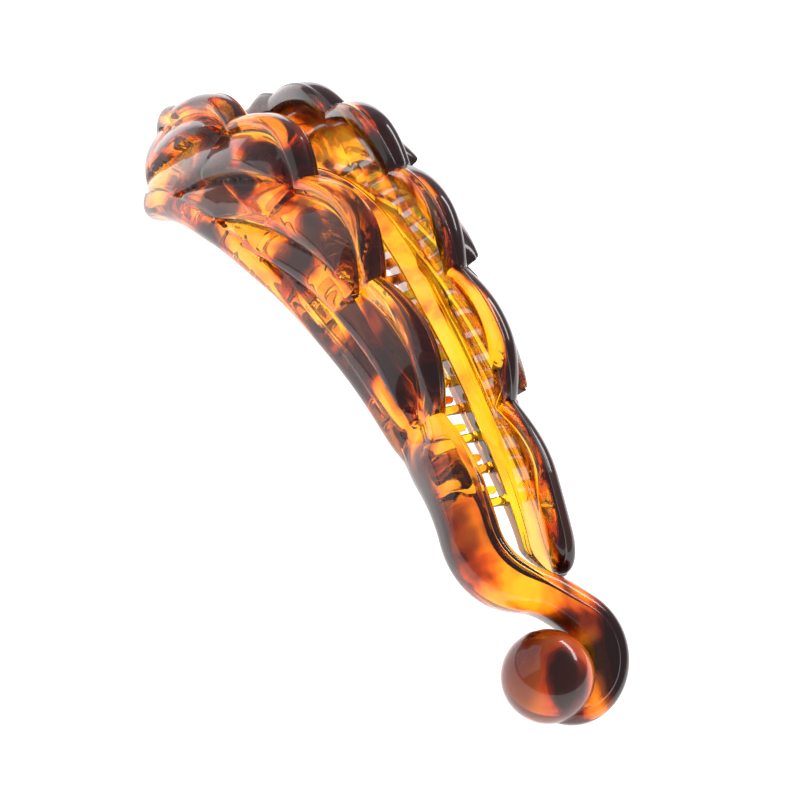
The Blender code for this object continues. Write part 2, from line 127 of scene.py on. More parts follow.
# Sizes of an arm's section: its depth, its lean in degrees, half the rim's width, how much of the full
# swell the outer face has, and the height and reach of the comb strip.
HALF_GAP_AT_LAST_NOTCH = 5.3
HALF_GAP_PER_LOBE = 0.44
ARM_TABLE_EASING = 4.0
ARM_TABLE = (
    {"s": -100.0, "depth": 14.4, "lean": 6.0, "rim_half": 2.2, "swell": 1.0, "comb": 6.0, "proud": 1.2},
    {"s": -92.0, "depth": 16.6, "lean": 12.0, "rim_half": 2.3, "swell": 1.0, "comb": 6.0, "proud": 1.2},
    {"s": -84.0, "depth": 17.5, "lean": 18.0, "rim_half": 2.4, "swell": 1.0, "comb": 6.0, "proud": 1.2},
    {"s": -60.0, "depth": 17.9, "lean": 21.0, "rim_half": 2.7, "swell": 1.0, "comb": 6.0, "proud": 1.8},
    {"s": -42.0, "depth": 16.9, "lean": 18.0, "rim_half": 2.3, "swell": 1.0, "comb": 6.0, "proud": 2.6},
    {"s": -21.0, "depth": 14.3, "lean": 10.0, "rim_half": 1.6, "swell": 1.0, "comb": 5.6, "proud": 2.3},
    {"s": 0.0, "depth": 10.1, "lean": 3.5, "rim_half": 1.3, "swell": 0.9, "comb": 4.6, "proud": 1.3},
    {"s": 13.0, "depth": 5.4, "lean": 0.5, "rim_half": 1.2, "swell": 0.8, "comb": 2.6, "proud": 1.0},
    {"s": 20.0, "depth": 4.8, "lean": 0.0, "rim_half": 1.4, "swell": 0.8, "comb": 2.0, "proud": 0.4},
)


def half_gap(s):
    """Distance from the middle plane to the mould line of either arm."""
    return HALF_GAP_AT_LAST_NOTCH - HALF_GAP_PER_LOBE * s / LOBE_PITCH


def read_table(table, key, at, column):
    """Value of a column between the rows of a table that are nearest on each side."""
    for first, second in zip(table, table[1:]):
        if at <= second[key] or second is table[-1]:
            share = min(max((at - first[key]) / (second[key] - first[key]), 0.0), 1.0)
            return first[column] + (second[column] - first[column]) * share


def eased(table, key, at, column, reach):
    """The same value, smoothed by the mean over a short reach on both sides."""
    steps = (-1.0, -0.6, -0.2, 0.2, 0.6, 1.0)
    return sum(read_table(table, key, at + reach * step, column) for step in steps) / len(steps)


def arm_size(s, column):
    """Size of an arm's section at s."""
    return eased(ARM_TABLE, "s", s, column, ARM_TABLE_EASING)


def lean_out(s, ring):
    """Turn a section about the mould line, so that its foot stands away from the middle plane."""
    lean = math.radians(arm_size(s, "lean"))
    cosine, sine = math.cos(lean), math.sin(lean)
    return [(n * cosine + t * sine, t * cosine - n * sine) for n, t in ring]


# The petals overlap like tiles. Each has its tip at a notch, and its lower edge runs back from there and
# down to the bar; across its width it rises from the groove to a crest and rolls over in a lip.
RIM_ROLL = 3.4
PETAL_TIP_DEPTH = -1.9
PETAL_SLOPES = (9.0, 9.0, 8.6, 7.4, 5.7)
PETAL_TIP_ROUND = 3.0
PETAL_TIP_LIFT = 1.3
PETAL_TIP_LEAST = 0.3
PETAL_OPENING = 4.0
PETAL_RISE = 2.4
PETAL_START = 0.08
PETAL_CREST = 0.76
PETAL_FALL = 0.95
PETAL_LEAST_WIDTH = 0.2
PETAL_SQUEEZE = 2.5
PETAL_FADE = 0.4
PETAL_FADE_LOBES = (0.4, 1.5)
TAIL_PETAL = 0.45
END_BELLY = 0.8
END_BELLY_HALF_LENGTH = 8.0


def petal_lower_edge(s, number):
    """Crease under a petal: it runs from the petal's tip back and down towards the hinge."""
    back = (notch(number) - s) / LOBE_PITCH
    tip = max(1.0 - back * LOBE_PITCH / PETAL_TIP_ROUND, 0.0)
    lift = PETAL_TIP_LIFT * (1.0 - math.sqrt(1.0 - tip * tip))
    return PETAL_TIP_DEPTH - PETAL_SLOPES[number - 1] * back + lift


def petal_at(s, n, face_top, bar_top):
    """Number of the petal that shows at a point of the outer face, with its upper and lower edges."""
    number = LOBE_COUNT + math.ceil(s / LOBE_PITCH - ROUNDING_SLACK)
    number = min(max(1, number), LOBE_COUNT + 1)
    upper = face_top
    if number > 1:
        opening = blend(0.0, PETAL_OPENING, s - notch(number - 1))
        upper = min(PETAL_TIP_DEPTH, face_top) + (face_top - min(PETAL_TIP_DEPTH, face_top)) * opening
    while number <= LOBE_COUNT:
        lower = max(petal_lower_edge(s, number), bar_top)
        if n >= lower:
            return number, upper, lower
        upper = lower
        number += 1
    return number, upper, bar_top


def petal_rise(s, n, face_top, bar_top):
    """Height of the feather petals over the outer face."""
    number, upper, lower = petal_at(s, n, face_top, bar_top)
    strength = TAIL_PETAL
    if number <= LOBE_COUNT:
        back = notch(number) - s
        tip = max(1.0 - back / PETAL_TIP_ROUND, 0.0)
        strength = 1.0 - PETAL_FADE * blend(*PETAL_FADE_LOBES, back / LOBE_PITCH)
        strength *= max(math.sqrt(1.0 - tip * tip), PETAL_TIP_LEAST)
    strength *= blend(0.0, PETAL_SQUEEZE, upper - bar_top)
    v = min(max((upper - n) / max(upper - lower, PETAL_LEAST_WIDTH), 0.0), 1.0)
    crown = PETAL_START + (1.0 - PETAL_START) * math.sin(math.pi / 2 * min(v / PETAL_CREST, 1.0))
    if v > PETAL_CREST and number <= LOBE_COUNT:
        crown -= PETAL_FALL * (1.0 - math.sqrt(1.0 - ((v - PETAL_CREST) / (1.0 - PETAL_CREST)) ** 2))
    near = blend(notch(1) - END_BELLY_HALF_LENGTH, notch(1) + END_BELLY_HALF_LENGTH, s)
    belly = math.sin(math.pi * min((face_top - n) / (face_top - bar_top), 1.0))
    return PETAL_RISE * (near * strength * crown + (1.0 - near) * END_BELLY * belly)


# The section of an arm: the rim with its mould line, the groove under it, the face with the petals, the
# bar along the foot, the comb strip and the plain inner face.
MOULD_LINE_HEIGHT = 0.16
MOULD_LINE_HALF = 0.16
RIM_INNER_HALF = 1.7
RIM_ROUND = 2.0
RIM_SPREAD = 0.2
RIM_TURNS = range(10, 91, 10)
GROOVE_REACH = 1.8
GROOVE_POINTS = 6
LEAN_REACH = 3.1
FACE_POINTS = 46
BAR_HEIGHT = 3.8
BAR_POINTS = 18
BAND_RISE = 0.9
BELLY_RISE = 0.5
BELLY_DROP = 0.55
HEEL_DRAW = 0.2
NOSE_LENGTH = 14.0
NOSE_BELLY = 0.6
NOSE_HEEL = 0.5
FOOT_OUTER = 1.0
FOOT_INNER = -1.4
COMB_EDGE = 0.8
COMB_EDGE_POINTS = 6
COMB_LIP = 0.1
COMB_CORNER = 0.4
COMB_CORNER_POINTS = 4
COMB_STEP = 0.4
COMB_FILLET_ACROSS = 0.3
COMB_FILLET_UP = 0.6


def curve_through(corners, steps):
    """Points on a smooth curve from the first corner to the last, bending towards those between."""
    points = []
    for step in range(steps):
        u = step / steps
        level = list(corners)
        while len(level) > 1:
            level = [(a[0] + (b[0] - a[0]) * u, a[1] + (b[1] - a[1]) * u) for a, b in zip(level, level[1:])]
        points.append(level[0])
    return points


def quarter_round(top, half, turns):
    """Points down one side of the rounded rim; a turn of 90 degrees is its widest place."""
    points = []
    for turn in turns:
        a = math.radians(turn)
        points.append((top - RIM_ROUND * (1.0 - math.cos(a)), half * math.sin(a)))
    return points


def outer_face(s, top, bar_top):
    """From the rim through the groove under it, and over the petals down to the bar."""
    outer_half = arm_size(s, "rim_half") + RIM_SPREAD * max(top, 0.0)
    swell = arm_size(s, "swell")
    face_top = top - RIM_ROLL
    points = quarter_round(top, outer_half, RIM_TURNS)
    for step in range(1, GROOVE_POINTS):
        u = step / GROOVE_POINTS
        n = top - RIM_ROUND + (RIM_ROUND - RIM_ROLL) * u
        points.append((n, outer_half + (swell * GROOVE_REACH - outer_half) * blend(0.0, 1.0, u)))
    for step in range(FACE_POINTS):
        share = step / FACE_POINTS
        n = face_top + (bar_top - face_top) * share
        reach = GROOVE_REACH + (LEAN_REACH - GROOVE_REACH) * share
        points.append((n, swell * (reach + petal_rise(s, n, face_top, bar_top))))
    return points


def foot_bar(s, depth, bar_top):
    """Round the belly of the bar to the underside; the bar thins out towards the hinge end."""
    nose = blend(ARM_START_S, ARM_START_S + NOSE_LENGTH, s)
    band = arm_size(s, "swell") * (LEAN_REACH + BAND_RISE * nose)
    belly = (band + BELLY_RISE) * (NOSE_BELLY + (1.0 - NOSE_BELLY) * nose)
    heel = (band - HEEL_DRAW) * (NOSE_HEEL + (1.0 - NOSE_HEEL) * nose)
    foot = (-depth, FOOT_OUTER)
    corners = ((bar_top, band), (bar_top - BELLY_DROP * BAR_HEIGHT, belly), (-depth, heel), foot)
    return curve_through(corners, BAR_POINTS) + [foot]


def comb_strip(s, depth, comb_top):
    """From the underside round the strip that carries the teeth, to the foot of the inner face."""
    face = -RIM_INNER_HALF - arm_size(s, "proud")
    edge = COMB_EDGE - depth
    lip = comb_top + COMB_LIP
    step = comb_top + COMB_STEP
    points = curve_through(((-depth, FOOT_INNER), (-depth, face), (edge, face)), COMB_EDGE_POINTS)
    points += [(edge + (comb_top - edge) * share, face) for share in (0.0, 0.25, 0.5, 0.75)]
    points += curve_through(((lip - COMB_CORNER, face), (lip, face), (lip, face + COMB_CORNER)),
                            COMB_CORNER_POINTS)
    points += curve_through(((step, -RIM_INNER_HALF - COMB_FILLET_ACROSS), (step, -RIM_INNER_HALF),
                             (step + COMB_FILLET_UP, -RIM_INNER_HALF)), COMB_CORNER_POINTS)
    return points


def arm_section(s):
    """Ring of (n, t) round an arm, from the mould line down the outer face and up the inner one."""
    top = rim_top(s)
    depth = arm_size(s, "depth")
    bar_top = BAR_HEIGHT - depth
    comb_top = arm_size(s, "comb") - depth
    inner_foot = comb_top + COMB_STEP + COMB_FILLET_UP
    inner_top = top - RIM_ROUND
    ring = [(top + MOULD_LINE_HEIGHT, 0.0), (top, MOULD_LINE_HALF)]
    ring += outer_face(s, top, bar_top)
    ring += foot_bar(s, depth, bar_top)
    ring += comb_strip(s, depth, comb_top)
    for share in (0.0, 0.2, 0.4, 0.6, 0.8):
        ring.append((inner_foot + (inner_top - inner_foot) * share, -RIM_INNER_HALF))
    ring += quarter_round(top, -RIM_INNER_HALF, reversed(RIM_TURNS))
    ring.append((top, -MOULD_LINE_HALF))
    return ring


# The hinge end: the arm rounds in to the middle plane, its foot is drawn in, and its hollow side is filled.
MIDDLE_CLEARANCE = 0.3
HINGE_ROUND_LENGTH = 14.0
HINGE_ROUND_SHARE = 0.85
HINGE_FILL = (1.0, 8.0)
HINGE_FILL_LEAST = 0.02
NOSE_TAPER = 0.9
FIRST_STATIONS = (0.0, 0.15, 0.35, 0.6, 0.9, 1.2)
EVEN_STATIONS_FROM = 1.6
STATION_STEP = 0.42


def close_in(s, reach):
    """Distance from the middle plane, drawn in where an arm rounds in to the hinge."""
    u = min((s - ARM_START_S) / HINGE_ROUND_LENGTH, 1.0)
    plan = math.sqrt(1.0 - (1.0 - u) ** 2 * HINGE_ROUND_SHARE)
    return MIDDLE_CLEARANCE + (reach - MIDDLE_CLEARANCE) * plan


def arm_ring(s, side, end_scale=1.0, slant=0.0):
    """World ring of an arm's cross-section at s; side is -1 for the hook arm and 1 for the other."""
    top = rim_top(s)
    depth = arm_size(s, "depth")
    middle = (top - depth) / 2
    nose = NOSE_TAPER * (1.0 - blend(ARM_START_S, ARM_START_S + NOSE_LENGTH, s))
    fill = max(blend(ARM_START_S + HINGE_FILL[0], ARM_START_S + HINGE_FILL[1], s), HINGE_FILL_LEAST)
    section = [(middle + (n - middle) * end_scale, t * end_scale) for n, t in arm_section(s)]
    section = [(n, t * (1.0 - nose * ((top - n) / (top + depth)) ** 2) if t > 0 else t) for n, t in section]
    ring = []
    for (_, flat_t), (n, t) in zip(section, lean_out(s, section)):
        y = close_in(s, half_gap(s) + t)
        if flat_t < 0:
            y = MIDDLE_CLEARANCE + (y - MIDDLE_CLEARANCE) * fill
        ring.append(place(s + slant * flat_t, side * y, n))
    return ring


def arm_stations(end_s):
    """Evenly spaced places along an arm, closer at its hinge end, with one on every notch."""
    stations = [ARM_START_S + step for step in FIRST_STATIONS]
    s = ARM_START_S + EVEN_STATIONS_FROM
    while s < end_s:
        stations.append(s)
        s += STATION_STEP
    for number in range(1, LOBE_COUNT + 1):
        near = min(stations, key=lambda station: abs(station - notch(number)))
        stations[stations.index(near)] = notch(number)
    return stations + [end_s]


# The tail turns into the hook: a bend, a straight crossing over the catch arm's tip, and a curl. Its bar
# is measured from the mould line: inner is its side towards the middle of the bend, which is the outside
# of the curl.
BEND_START_S = 15.9
BEND_RADIUS = 7.8
BEND_TURN = math.radians(50.8)
BEND_STEPS = 20
CROSSING_LENGTH = 10.8
CROSSING_STEPS = 20
CURL_RADIUS = 6.9
CURL_END_RADIUS = 4.4
CURL_TURN = math.radians(292.0)
CURL_STEPS = 80
CURL_CLOSING_STEPS = 9
CURL_END_LEAST = 0.03
HOOK_TABLE_EASING = 1.5
HOOK_TABLE = (
    {"reach": 0.0, "inner": 2.3, "outer": 4.9, "tall": 8.0},
    {"reach": 3.0, "inner": 2.1, "outer": 5.3, "tall": 8.0},
    {"reach": 6.2, "inner": 1.9, "outer": 5.3, "tall": 8.0},
    {"reach": 9.2, "inner": 1.6, "outer": 4.7, "tall": 8.0},
    {"reach": 12.2, "inner": 2.5, "outer": 3.3, "tall": 7.8},
    {"reach": 15.2, "inner": 2.5, "outer": 3.3, "tall": 7.3},
    {"reach": 18.5, "inner": 2.35, "outer": 3.8, "tall": 6.6},
    {"reach": 26.0, "inner": 2.35, "outer": 4.0, "tall": 5.4},
    {"reach": 34.0, "inner": 2.35, "outer": 3.4, "tall": 5.0},
    {"reach": 47.0, "inner": 2.5, "outer": 2.35, "tall": 5.0},
)
HOOK_TOP_RISE = 1.3
BAR_FROM_S = 7.0
BAR_SQUARENESS = 0.78
BAR_PATTERN = arm_section(BEND_START_S)
TAIL_ROUND_S = 6.0
TAIL_TABLE = (
    {"s": 0.0, "outer": 3.9},
    {"s": 6.0, "outer": 4.4},
    {"s": 16.0, "outer": 4.9},
)


def bar_section(top, tall, inner, outer):
    """Rounded bar whose points lie at the same shares of the way round as those of an arm's section."""
    lengths = [0.0]
    for a, b in zip(BAR_PATTERN, BAR_PATTERN[1:] + BAR_PATTERN[:1]):
        lengths.append(lengths[-1] + math.hypot(b[0] - a[0], b[1] - a[1]))
    ring = []
    for length in lengths[:-1]:
        a = 2 * math.pi * length / lengths[-1]
        half = outer if a < math.pi else inner
        rise = math.copysign(abs(math.cos(a)) ** BAR_SQUARENESS, math.cos(a))
        reach = math.copysign(abs(math.sin(a)) ** BAR_SQUARENESS, math.sin(a))
        ring.append((top - tall / 2 * (1.0 - rise), half * reach))
    ring[0] = (top + MOULD_LINE_HEIGHT, 0.0)
    return ring


def mix_rings(first, second, m):
    """Ring between two others: the first at a mix of 0, the second at 1."""
    return [(a[0] + (b[0] - a[0]) * m, a[1] + (b[1] - a[1]) * m) for a, b in zip(first, second)]


def hook_route():
    """Stations (s, y, heading, reach) of the mould line from the bend to the end of the curl."""
    s = BEND_START_S
    y = -half_gap(s)
    route = []
    for step in range(1, BEND_STEPS + 1):
        turn = BEND_TURN * step / BEND_STEPS
        route.append((s + BEND_RADIUS * math.sin(turn), y + BEND_RADIUS * (1 - math.cos(turn)), turn,
                      BEND_RADIUS * turn))
    length = CROSSING_LENGTH / CROSSING_STEPS
    for step in range(CROSSING_STEPS):
        s, y, heading, reach = route[-1]
        route.append((s + length * math.cos(heading), y + length * math.sin(heading), heading,
                      reach + length))
    turn = CURL_TURN / CURL_STEPS
    for step in range(1, CURL_STEPS + 1):
        s, y, heading, reach = route[-1]
        length = turn * (CURL_RADIUS + (CURL_END_RADIUS - CURL_RADIUS) * step / CURL_STEPS)
        middle = heading - turn / 2
        route.append((s + length * math.cos(middle), y + length * math.sin(middle), heading - turn,
                      reach + length))
    return route


def hook_section(reach, rise, end):
    """Section of the hook's bar; end shrinks it at the tip of the curl."""
    inner, outer, tall = [eased(HOOK_TABLE, "reach", reach, column, HOOK_TABLE_EASING)
                          for column in ("inner", "outer", "tall")]
    top = TAIL_HEIGHT + rise - tall / 2 * (1 - end)
    return bar_section(top, tall * end, inner * end, outer * end)


def tail_section(s):
    """Section of the tail: its outer half goes over into a rounded bar, and then the whole of it."""
    flat = arm_section(s)
    leaning = lean_out(s, flat)
    tall = rim_top(s) + arm_size(s, "depth")
    tail = bar_section(rim_top(s), tall, RIM_INNER_HALF, read_table(TAIL_TABLE, "s", s, "outer"))
    rounded = mix_rings(leaning, tail, blend(0.0, TAIL_ROUND_S, s))
    section = [b if a[1] > 0.0 else c for a, b, c in zip(flat, rounded, leaning)]
    return mix_rings(section, hook_section(0.0, 0.0, 1.0), blend(BAR_FROM_S, BEND_START_S, s))


def hook_arm_rings():
    """All rings of the hook arm: the lobes, the tail, and the hook to the end of its curl."""
    rings = []
    for s in arm_stations(BEND_START_S):
        if s < 0.0:
            rings.append(arm_ring(s, -1))
        else:
            rings.append([place(s, -half_gap(s) - t, n) for n, t in tail_section(s)])
    route = hook_route()
    for index, (s, y, heading, reach) in enumerate(route):
        u = max(index - len(route) + CURL_CLOSING_STEPS + 1, 0) / CURL_CLOSING_STEPS
        end = math.sqrt(max(1.0 - u * u, CURL_END_LEAST))
        section = hook_section(reach, HOOK_TOP_RISE * (index + 1) / len(route), end)
        rings.append([place(s + t * math.sin(heading), y - t * math.cos(heading), n) for n, t in section])
    return rings


# Making the moulding: one skin over the rings, other solids fused to it or cut out, and a clean surface.
SKIN_GRID_HALF = 0.5
SKIN_MERGE = 1e-8
FLOOR_CUT = 0.01 * MM
CUT_MERGE = 1e-7
SHARP_ANGLE = math.radians(50.0)


def as_object(name, bm):
    """New object in the scene, with its mesh taken from a bmesh."""
    mesh = bpy.data.meshes.new(name)
    bm.to_mesh(mesh)
    bm.free()
    obj = bpy.data.objects.new(name, mesh)
    bpy.context.scene.collection.objects.link(obj)
    return obj


def skin(rings):
    """Closed skin over rings of equal length: one grid, wrapped round and capped at both ends."""
    bm = bmesh.new()
    count = len(rings[0])
    made = bmesh.ops.create_grid(bm, x_segments=len(rings) - 1, y_segments=count, size=SKIN_GRID_HALF)
    for vert in made["verts"]:
        row = round((vert.co.x + SKIN_GRID_HALF) * (len(rings) - 1))
        column = round((vert.co.y + SKIN_GRID_HALF) * count)
        vert.co = rings[row][column % count]
    bmesh.ops.remove_doubles(bm, verts=bm.verts, dist=SKIN_MERGE)
    open_edges = [edge for edge in bm.edges if edge.is_boundary]
    caps = bmesh.ops.holes_fill(bm, edges=open_edges)["faces"]
    bmesh.ops.triangulate(bm, faces=caps)
    bmesh.ops.recalc_face_normals(bm, faces=bm.faces)
    return bm


def join(target, tool, operation):
    """Fuse a tool solid to a piece, or cut it out, and drop the tool."""
    modifier = target.modifiers.new("join", "BOOLEAN")
    modifier.operation = operation
    modifier.solver = "EXACT"
    modifier.object = tool
    depsgraph = bpy.context.evaluated_depsgraph_get()
    mesh = bpy.data.meshes.new_from_object(target.evaluated_get(depsgraph))
    old = target.data
    target.modifiers.clear()
    target.data = mesh
    bpy.data.meshes.remove(old)
    bpy.data.objects.remove(tool)


def finish_surface(obj):
    """Flat resting spots at floor level, smooth faces, and sharp edges where a step is meant."""
    bm = bmesh.new()
    bm.from_mesh(obj.data)
    bmesh.ops.bisect_plane(bm, geom=bm.verts[:] + bm.edges[:] + bm.faces[:], dist=CUT_MERGE,
                           plane_co=(0.0, 0.0, FLOOR_CUT), plane_no=(0.0, 0.0, 1.0), clear_inner=True)
    open_edges = [edge for edge in bm.edges if edge.is_boundary]
    bmesh.ops.holes_fill(bm, edges=open_edges)
    for face in bm.faces:
        face.smooth = True
    for edge in bm.edges:
        edge.smooth = edge.calc_face_angle(0.0) < SHARP_ANGLE
    bm.to_mesh(obj.data)
    bm.free()


# The comb teeth: round tapered rods that pass the middle plane, with the two arms' rows side by side.
TOOTH_COUNT = 18
TOOTH_PITCH = 5.2
LAST_TOOTH_S = 10.4
TOOTH_PAIR_SHIFT = 1.65
TOOTH_HEIGHT = 2.0
TOOTH_RADIUS = 0.7
TOOTH_ROOT = 0.8
TOOTH_FILLET = ((0.0, 0.12), (0.15, 0.03), (0.4, 0.0))
TOOTH_TIP_RADIUS = 0.55
TOOTH_TIP_TURNS = (0, 25, 50, 70)
TOOTH_SIDES = 16
TOOTH_MERGE = 1e-7
TOOTH_END_GAP = 0.7
TOOTH_SWING_SLACK = 0.2


def tooth_reach(s, n, strip):
    """How far a tooth passes the middle plane: less near the hinge, where its tip swings along the arch."""
    arm = (place(s, 0.0, n) - place(HINGE_S, 0.0, 0.0)).dot(arch_frame(HINGE_S)[1]) / MM
    return min(strip - TOOTH_END_GAP, math.sqrt(2 * arm * TOOTH_SWING_SLACK))


def tooth_place(index, side):
    """Place of a tooth along an arm; a catch arm's tooth stands just past each tooth of the hook arm."""
    s = LAST_TOOTH_S - index * TOOTH_PITCH
    if side > 0:
        s += TOOTH_PAIR_SHIFT * ARCH_RADIUS / (ARCH_RADIUS - arm_size(s, "depth"))
    return s


def tooth_profile(length):
    """Half outline of a tooth as (reach, radius): its root, a small fillet and a rounded tip."""
    profile = [(0.0, 0.0), (0.0, TOOTH_RADIUS + TOOTH_FILLET[0][1])]
    profile += [(TOOTH_ROOT + reach, TOOTH_RADIUS + growth) for reach, growth in TOOTH_FILLET]
    for turn in TOOTH_TIP_TURNS:
        a = math.radians(turn)
        profile.append((length - TOOTH_TIP_RADIUS * (1 - math.sin(a)), TOOTH_TIP_RADIUS * math.cos(a)))
    return profile + [(length, 0.0)]


def teeth(side):
    """One arm's comb teeth, each spun from its half outline."""
    bm = bmesh.new()
    for index in range(TOOTH_COUNT):
        s = tooth_place(index, side)
        face = -RIM_INNER_HALF - arm_size(s, "proud")
        n, t = lean_out(s, [(TOOTH_HEIGHT - arm_size(s, "depth"), face)])[0]
        strip = half_gap(s) + t
        profile = tooth_profile(strip + TOOTH_ROOT + tooth_reach(s, n, strip))
        root = place(s, side * (strip + TOOTH_ROOT), n)
        verts = [bm.verts.new(root + Vector((radius, -side * reach, 0.0)) * MM) for reach, radius in profile]
        edges = [bm.edges.new(pair) for pair in zip(verts, verts[1:])]
        bmesh.ops.spin(bm, geom=verts + edges, cent=root, axis=(0.0, 1.0, 0.0), angle=2 * math.pi,
                       steps=TOOTH_SIDES, use_merge=True)
    bmesh.ops.remove_doubles(bm, verts=bm.verts, dist=TOOTH_MERGE)
    bmesh.ops.recalc_face_normals(bm, faces=bm.faces)
    return as_object("teeth_tool", bm)


# The marks of the mould's ejector pins on the inner face.
EJECTOR_PROUD = 0.12
EJECTOR_SUNK = 0.3
EJECTOR_EDGE = 0.06
EJECTOR_SIDES = 48
EJECTOR_MARKS = (
    {"s": -77.0, "n": -8.5, "radius": 2.3},
    {"s": -54.3, "n": -8.2, "radius": 2.5},
    {"s": -28.4, "n": -7.6, "radius": 2.3},
    {"s": 12.2, "n": -0.4, "radius": 1.4},
)


def ejector_marks(side):
    """Round marks that the mould's ejector pins leave on an arm's inner face, a little proud of it."""
    bm = bmesh.new()
    for row in EJECTOR_MARKS:
        s = row["s"]
        ends = [(row["n"], EJECTOR_SUNK - RIM_INNER_HALF), (row["n"], -RIM_INNER_HALF - EJECTOR_PROUD)]
        back, front = [place(s, side * (half_gap(s) + t), n) for n, t in lean_out(s, ends)]
        made = bmesh.ops.create_cone(bm, cap_ends=True, segments=EJECTOR_SIDES, radius1=row["radius"] * MM,
                                     radius2=(row["radius"] - EJECTOR_EDGE) * MM,
                                     depth=(front - back).length)
        turn = Vector((0.0, 0.0, 1.0)).rotation_difference(front - back)
        bmesh.ops.rotate(bm, verts=made["verts"], matrix=turn.to_matrix())
        bmesh.ops.translate(bm, verts=made["verts"], vec=(front + back) / 2)
    return as_object("ejector_tool", bm)


# The hinge: barrels on one axis, measured along it from the rim line. The hook arm has the two end
# knuckles and the room between them for the catch arm's knuckle, and one hole goes through all three.
KNUCKLE_RADIUS = 2.7
RUNNING_GAP = 0.35
ROOM_RADIUS = KNUCKLE_RADIUS + RUNNING_GAP
HOOK_KNUCKLE_LEVELS = (-13.2, -3.2)
HOOK_ROOM_LEVELS = (-10.2, -6.2)
PIN_HOLE_RADIUS = 1.3
CUT_LEVELS = (-30.0, 10.0)
BARREL_SIDES = 48
BARREL_EDGE_SEGMENTS = 3


def barrel(low, high, radius, edge=0.0, sides=BARREL_SIDES):
    """Round solid on the hinge's axis between two heights, its two end edges rounded if asked."""
    bm = bmesh.new()
    bmesh.ops.create_cone(bm, cap_ends=True, segments=sides, radius1=radius * MM, radius2=radius * MM,
                          depth=(high - low) * MM)
    if edge:
        rims = [rim for rim in bm.edges if rim.verts[0].co.z == rim.verts[1].co.z]
        bmesh.ops.bevel(bm, geom=rims, offset=edge * MM, segments=BARREL_EDGE_SEGMENTS, affect="EDGES",
                        profile=0.5, material=-1)
    bmesh.ops.translate(bm, verts=bm.verts, vec=(0.0, 0.0, (high - low) * MM / 2))
    turn = Vector((0.0, 0.0, 1.0)).rotation_difference(arch_frame(HINGE_S)[2])
    bmesh.ops.rotate(bm, verts=bm.verts, matrix=turn.to_matrix())
    bmesh.ops.translate(bm, verts=bm.verts, vec=place(HINGE_S, 0.0, low))
    return as_object("barrel_tool", bm)


# The ball at the end of the curl.
BALL_RADIUS = 6.0
BALL_PLACE = (35.7, -0.85, 2.9)
BALL_SIDES = (64, 40)


def ball():
    """The ball that closes the hook."""
    bm = bmesh.new()
    bmesh.ops.create_uvsphere(bm, u_segments=BALL_SIDES[0], v_segments=BALL_SIDES[1],
                              radius=BALL_RADIUS * MM)
    bmesh.ops.translate(bm, verts=bm.verts, vec=place(*BALL_PLACE))
    return as_object("ball_tool", bm)


# The plastic: colours from clear to darkest along the shade of its clouds, then the sizes of the clouds,
# the tint that grows with depth, and the faint waves that the mould leaves on the surface.
AMBER_STOPS = (
    {"at": 0.20, "colour": (1.0, 0.74, 0.025)},
    {"at": 0.37, "colour": (1.0, 0.54, 0.015)},
    {"at": 0.47, "colour": (0.95, 0.25, 0.008)},
    {"at": 0.54, "colour": (0.55, 0.075, 0.004)},
    {"at": 0.61, "colour": (0.11, 0.012, 0.004)},
    {"at": 0.74, "colour": (0.018, 0.004, 0.003)},
)
CLOUD_SCALE = 150.0
CLOUD_DETAIL = 3.0
CLOUD_ROUGHNESS = 0.45
CLOUD_STRETCH = (0.55, 0.7, 1.0)
CLOUD_STRENGTH = 1.5
CLEAR_SHADES = (0.52, 0.74)
CLEARNESS = (1.0, 0.12)
WARP_SCALE = 55.0
WARP_REACH = 0.016
PLASTIC_IOR = 1.5
DEPTH_TINT = (1.0, 0.52, 0.06, 1.0)
DEPTH_TINT_DENSITY = 60.0
COAT_WEIGHT = 0.4
COAT_ROUGHNESS = 0.28
WAVE_SCALE = 150.0
WAVE_STRENGTH = 0.06
WAVE_DEPTH = 0.6 * MM
POLISH = (0.02, 0.07)


def noise(tree, vector, scale, detail, roughness=0.5):
    """Noise texture over the given coordinates."""
    node = tree.nodes.new("ShaderNodeTexNoise")
    node.inputs["Scale"].default_value = scale
    node.inputs["Detail"].default_value = detail
    node.inputs["Roughness"].default_value = roughness
    tree.links.new(vector, node.inputs["Vector"])
    return node


def range_of(tree, value, source, result, curve="LINEAR"):
    """Value taken from one range to another, held at the ends."""
    node = tree.nodes.new("ShaderNodeMapRange")
    node.interpolation_type = curve
    node.inputs["From Min"].default_value, node.inputs["From Max"].default_value = source
    node.inputs["To Min"].default_value, node.inputs["To Max"].default_value = result
    tree.links.new(value, node.inputs["Value"])
    return node.outputs["Result"]


def cloud_shade(tree, flow, shift):
    """How dark the plastic is: warped noise along the flow, plus the shade marked on the mesh."""
    warp = noise(tree, flow, WARP_SCALE, 1.0)
    bend = tree.nodes.new("ShaderNodeVectorMath")
    bend.operation = "MULTIPLY_ADD"
    bend.inputs[1].default_value = (WARP_REACH, WARP_REACH, WARP_REACH)
    tree.links.new(warp.outputs["Color"], bend.inputs[0])
    tree.links.new(flow, bend.inputs[2])
    mapping = tree.nodes.new("ShaderNodeMapping")
    mapping.inputs["Location"].default_value = shift
    mapping.inputs["Scale"].default_value = CLOUD_STRETCH
    tree.links.new(bend.outputs["Vector"], mapping.inputs["Vector"])
    clouds = noise(tree, mapping.outputs["Vector"], CLOUD_SCALE, CLOUD_DETAIL, CLOUD_ROUGHNESS)
    marked = tree.nodes.new("ShaderNodeAttribute")
    marked.attribute_name = "shade"
    spread = tree.nodes.new("ShaderNodeMath")
    spread.operation = "MULTIPLY_ADD"
    spread.inputs[1].default_value = CLOUD_STRENGTH
    tree.links.new(clouds.outputs["Fac"], spread.inputs[0])
    tree.links.new(marked.outputs["Fac"], spread.inputs[2])
    return spread.outputs["Value"]


